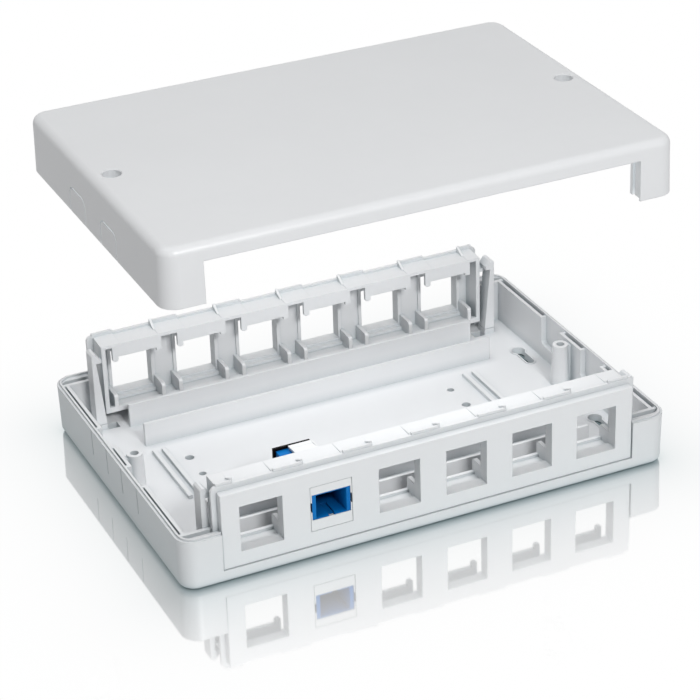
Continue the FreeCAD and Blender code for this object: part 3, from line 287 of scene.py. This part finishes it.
def distance_from_foot(tree):
    position = world_position(tree)
    dx, dy = (calc(tree, "SUBTRACT", calc(tree, "ABSOLUTE", position[axis]), half)
              for axis, half in (("X", FOOT_HALF_X), ("Y", FOOT_HALF_Y)))
    dx = calc(tree, "MAXIMUM", dx, 0.0)
    dy = calc(tree, "MAXIMUM", dy, 0.0)
    squares = calc(tree, "ADD", calc(tree, "MULTIPLY", dx, dx), calc(tree, "MULTIPLY", dy, dy))
    distance = calc(tree, "SUBTRACT", calc(tree, "SQRT", squares), FOOT_RADIUS)
    return calc(tree, "MAXIMUM", distance, 0.0)


def floor_material():
    """Pale glossy floor. It mirrors what stands on it, the mirror fades away from the
    object's foot, and a painted shadow darkens the floor and its mirror where the object sits."""
    material, tree = new_material("studio_floor")
    distance = distance_from_foot(tree)

    def falloff(depth, length):
        decay = calc(tree, "POWER", EULER, calc(tree, "DIVIDE", distance, -length))
        return calc(tree, "MULTIPLY", decay, depth)

    camera_ray = add(tree, "LightPath").outputs["Is Camera Ray"]
    # painted shadow: the camera sees a contact line and a soft shadow, other rays a dimmed
    # glow near the object
    seen_shadow = calc(tree, "ADD", falloff(*CONTACT_SHADOW), falloff(*SOFT_SHADOW))
    bounce_dimming = falloff(*BOUNCE_SHADOW)
    dark = calc(tree, "ADD", calc(tree, "MULTIPLY", seen_shadow, camera_ray),
                calc(tree, "MULTIPLY", bounce_dimming, calc(tree, "SUBTRACT", 1.0, camera_ray)))
    light = calc(tree, "SUBTRACT", 1.0, dark, clamp=True)
    # the painted shadow's cool grey colour
    shadow_tint = add(tree, "MixRGB", {"Fac": light, "Color1": (0.62, 0.74, 0.76, 1),
                                "Color2": (1, 1, 1, 1)}).outputs["Color"]
    fade = calc(tree, "SUBTRACT", 1.0, calc(tree, "DIVIDE", distance, MIRROR_LENGTH),
                clamp=True)
    fade = calc(tree, "MULTIPLY", fade, MIRROR)

    # seen directly the floor is plain white apart from the painted shadow; to everything else
    # it is a pale bouncing surface whose glow is dimmed by the painted shadow
    seen = add(tree, "Emission", {"Color": shadow_tint, "Strength": light})
    glow = add(tree, "Emission", {"Color": (1, 1, 1, 1),
                                  "Strength": calc(tree, "MULTIPLY", light, 1.00)})
    diffuse = add(tree, "BsdfDiffuse", {"Color": (0.93, 0.93, 0.935, 1)})
    pale = mix_shaders(tree, 0.45, diffuse.outputs["BSDF"], glow.outputs["Emission"])
    base = mix_shaders(tree, camera_ray, pale, seen.outputs["Emission"])
    gloss = add(tree, "BsdfGlossy", {"Roughness": 0.055, "Color": shadow_tint})
    surface = mix_shaders(tree, fade, base, gloss.outputs["BSDF"])
    add(tree, "OutputMaterial", {"Surface": surface})
    return material


def build_floor():
    grid = bmesh.new()
    bmesh.ops.create_grid(grid, x_segments=8, y_segments=8, size=FLOOR_HALF)
    mesh = bpy.data.meshes.new("studio_floor")
    grid.to_mesh(mesh)
    grid.free()
    floor = bpy.data.objects.new("studio_floor", mesh)
    floor.location = (0, 0, FLOOR_Z)
    scene.collection.objects.link(floor)
    mesh.materials.append(floor_material())
    floor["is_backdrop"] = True


build_floor()


# ------------------------------------------------------------------ world and lights
def build_world():
    """White to the camera and in reflections, a dim cool fill to everything else."""
    world = bpy.data.worlds.new("studio")
    scene.world = world
    world.use_nodes = True
    tree = world.node_tree
    tree.nodes.clear()
    ray = add(tree, "LightPath").outputs
    seen = add(tree, "Background", {"Color": (1, 1, 1, 1), "Strength": 1.0})
    fill = add(tree, "Background", {"Color": (0.97, 0.985, 1.0, 1), "Strength": 0.09})
    direct = calc(tree, "MAXIMUM", ray["Is Camera Ray"], ray["Is Glossy Ray"])
    surface = mix_shaders(tree, direct, fill.outputs["Background"],
                          seen.outputs["Background"])
    add(tree, "OutputWorld", {"Surface": surface})


def softbox(name, place, target, size, watts, glossy=False):
    """Rectangular light aimed at target; glossy lets it show in reflections."""
    data = bpy.data.lights.new(name, "AREA")
    data.shape = "RECTANGLE"
    data.size, data.size_y = size
    data.energy = watts
    light = bpy.data.objects.new(name, data)
    scene.collection.objects.link(light)
    light.location = place
    aim = Vector(target) - Vector(place)
    light.rotation_euler = aim.to_track_quat("-Z", "Y").to_euler()
    light.visible_camera = False
    light.visible_glossy = glossy
    return light


build_world()

# what the small light between tray and cover may reach
inside = bpy.data.collections.new("inside")
for name, obj in nodes.items():
    if "cover" not in name:
        inside.objects.link(obj)

softbox("key_front", place=(0.02, -0.95, 0.76), target=(0, 0, 0.05),
        size=(0.26, 0.22), watts=8.0, glossy=True)
softbox("top_fill", place=(-0.24, 0.14, 1.15), target=(0, 0, 0.0),
        size=(0.7, 0.7), watts=6.0)
inner = softbox("inner_fill", place=(0.0, -0.02, 0.070), target=(0.0, -0.02, 0.0),
                size=(0.13, 0.06), watts=0.020)
inner.light_linking.receiver_collection = inside

# ------------------------------------------------------------------ camera
AZIMUTH = math.radians(-24.192)  # from -Y, negative towards -X
ELEVATION = math.radians(28.254)
ROLL = math.radians(-1.927)
TARGET_MM = Vector((1.331, 5.46, 33.575))
DISTANCE_MM = 860.307
SENSOR_WIDTH_MM = 36.0
LENS_MM = 128.960486


def build_camera():
    back = Vector((math.sin(AZIMUTH) * math.cos(ELEVATION),
                   -math.cos(AZIMUTH) * math.cos(ELEVATION),
                   math.sin(ELEVATION)))
    right = (-back).cross(Vector((0, 0, 1))).normalized()
    up = right.cross(-back)
    rolled_right = right * math.cos(ROLL) + up * math.sin(ROLL)
    rolled_up = -right * math.sin(ROLL) + up * math.cos(ROLL)
    data = bpy.data.cameras.new("photo_camera")
    data.sensor_width = SENSOR_WIDTH_MM
    data.sensor_fit = "HORIZONTAL"
    data.lens = LENS_MM
    data.clip_start = 0.01
    data.clip_end = 50.0
    camera = bpy.data.objects.new("photo_camera", data)
    scene.collection.objects.link(camera)
    turn = Matrix((rolled_right, rolled_up, back)).transposed().to_4x4()
    camera.matrix_world = Matrix.Translation((TARGET_MM + back * DISTANCE_MM) * MM) @ turn
    scene.camera = camera


build_camera()
scene.view_settings.view_transform = "Standard"
scene.view_settings.look = "None"

{"cad": plain(CAD_BOX), "visual": plain(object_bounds())}
